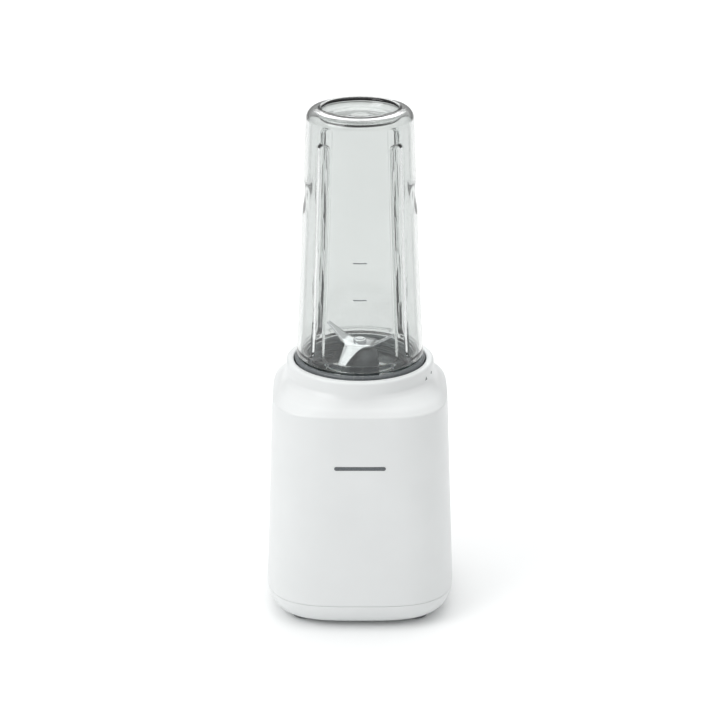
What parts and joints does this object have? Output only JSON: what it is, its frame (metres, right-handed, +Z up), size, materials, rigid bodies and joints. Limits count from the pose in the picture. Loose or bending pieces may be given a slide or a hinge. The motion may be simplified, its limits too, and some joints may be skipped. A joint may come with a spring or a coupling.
{
  "type": "countertop blender",
  "caption": "Compact countertop blender: rounded-square white motor base with a collar, and a clear ribbed bottle standing mouth-down on a screw-on blade base that twist-locks into it.",
  "frame": {"origin": "on the worktop, under the middle of the base", "axes": "+Z up along the motor, blade and bottle axis; -Y is the front; +X is to the right seen from the front"},
  "size_m": [0.125, 0.125, 0.3374],
  "materials": {
    "white_abs": "satin",
    "grey_pp": "satin",
    "dark_nylon": "matte",
    "clear_copolyester": "polished",
    "silicone": "matte",
    "blade_steel": "polished",
    "plain_steel": "bright",
    "bronze": "sintered",
    "black_rubber": "matte",
    "foot_rubber": "matte",
    "natural_nylon": "matte",
    "lamination_steel": "coated",
    "copper_wire": "enamelled",
    "cast_aluminium": "as cast",
    "carbon": "matte",
    "brass_strip": "stamped",
    "board_laminate": "satin",
    "yellow_film_case": "gloss"
  },
  "bodies": {
    "base": {"main_housing": "white_abs", "base_cover": "white_abs", "foot_front_left": "foot_rubber", "foot_front_right": "foot_rubber", "foot_rear_left": "foot_rubber", "foot_rear_right": "foot_rubber", "cord_gland": "black_rubber", "coupling_well": "grey_pp", "well_seal": "black_rubber", "stator_core": "lamination_steel", "field_coil_left": "copper_wire", "field_coil_right": "copper_wire", "upper_bracket": "cast_aluminium", "lower_bracket": "cast_aluminium", "upper_bearing": "plain_steel", "lower_bearing": "plain_steel", "brush_left": "carbon", "brush_right": "carbon", "brush_holder_left": "brass_strip", "brush_holder_right": "brass_strip", "brush_spring_left": "plain_steel", "brush_spring_right": "plain_steel", "mount_grommets": "black_rubber", "rod_spring_left": "plain_steel", "rod_spring_right": "plain_steel", "switch_left": "dark_nylon", "switch_right": "dark_nylon", "circuit_board": "board_laminate", "suppressor_capacitor": "yellow_film_case", "terminal_block": "natural_nylon", "base_screws": "plain_steel", "well_screws": "plain_steel", "motor_bolts": "plain_steel", "mount_screws": "plain_steel"},
    "lock_ring": {"lock_ring": "dark_nylon"},
    "cutter_unit": {"cutter_base": "grey_pp", "upper_bush": "bronze", "lower_bush": "bronze", "blade_shaft_seal": "black_rubber"},
    "seal_carrier": {"bottle_seal": "silicone"},
    "bottle": {"bottle": "clear_copolyester"},
    "blade_unit": {"blade_shaft": "blade_steel", "blade": "blade_steel", "blade_nut": "blade_steel", "blade_washer": "plain_steel", "driven_coupler": "black_rubber"},
    "rotor": {"motor_shaft": "plain_steel", "armature_core": "lamination_steel", "armature_winding": "copper_wire", "commutator": "copper_wire", "fan": "natural_nylon", "drive_coupler": "natural_nylon"},
    "rod_left": {"switch_rod_left": "natural_nylon"},
    "rod_right": {"switch_rod_right": "natural_nylon"}
  },
  "joints": [
    {"name": "bottle_twist", "type": "hinge", "parent": "base", "child": "lock_ring", "pos_m": [0, 0, 0.135], "axis": [0, 0, -1], "range_deg": [0, 20]},
    {"name": "bottle_lift", "type": "slide", "parent": "lock_ring", "child": "cutter_unit", "axis": [0, 0, 1], "range_m": [0, 0.06]},
    {"name": "bottle_rise", "type": "slide", "parent": "cutter_unit", "child": "seal_carrier", "axis": [0, 0, 1], "range_m": [0, 0.0136]},
    {"name": "bottle_unscrew", "type": "hinge", "parent": "seal_carrier", "child": "bottle", "pos_m": [0, 0, 0.16], "axis": [0, 0, 1], "range_deg": [0, 360]},
    {"name": "blade_spin", "type": "hinge", "parent": "cutter_unit", "child": "blade_unit", "pos_m": [0, 0, 0.16], "axis": [0, 0, 1], "continuous": true},
    {"name": "motor_spin", "type": "hinge", "parent": "base", "child": "rotor", "pos_m": [0, 0, 0.08], "axis": [0, 0, 1], "continuous": true},
    {"name": "rod_left_push", "type": "slide", "parent": "base", "child": "rod_left", "axis": [0, 0, -1], "range_m": [0, 0.00302], "deforming": ["rod_spring_left"]},
    {"name": "rod_right_push", "type": "slide", "parent": "base", "child": "rod_right", "axis": [0, 0, -1], "range_m": [0, 0.00302], "deforming": ["rod_spring_right"]}
  ],
  "couplings": [
    {"joint": "bottle_rise", "follows": "bottle_unscrew", "m_per_rad": 0.0021486},
    {"joint": "blade_spin", "follows": "motor_spin", "ratio": 1},
    {"joint": "rod_left_push", "follows": "bottle_twist", "m_per_rad": 0.0085944},
    {"joint": "rod_right_push", "follows": "bottle_twist", "m_per_rad": 0.0085944}
  ]
}
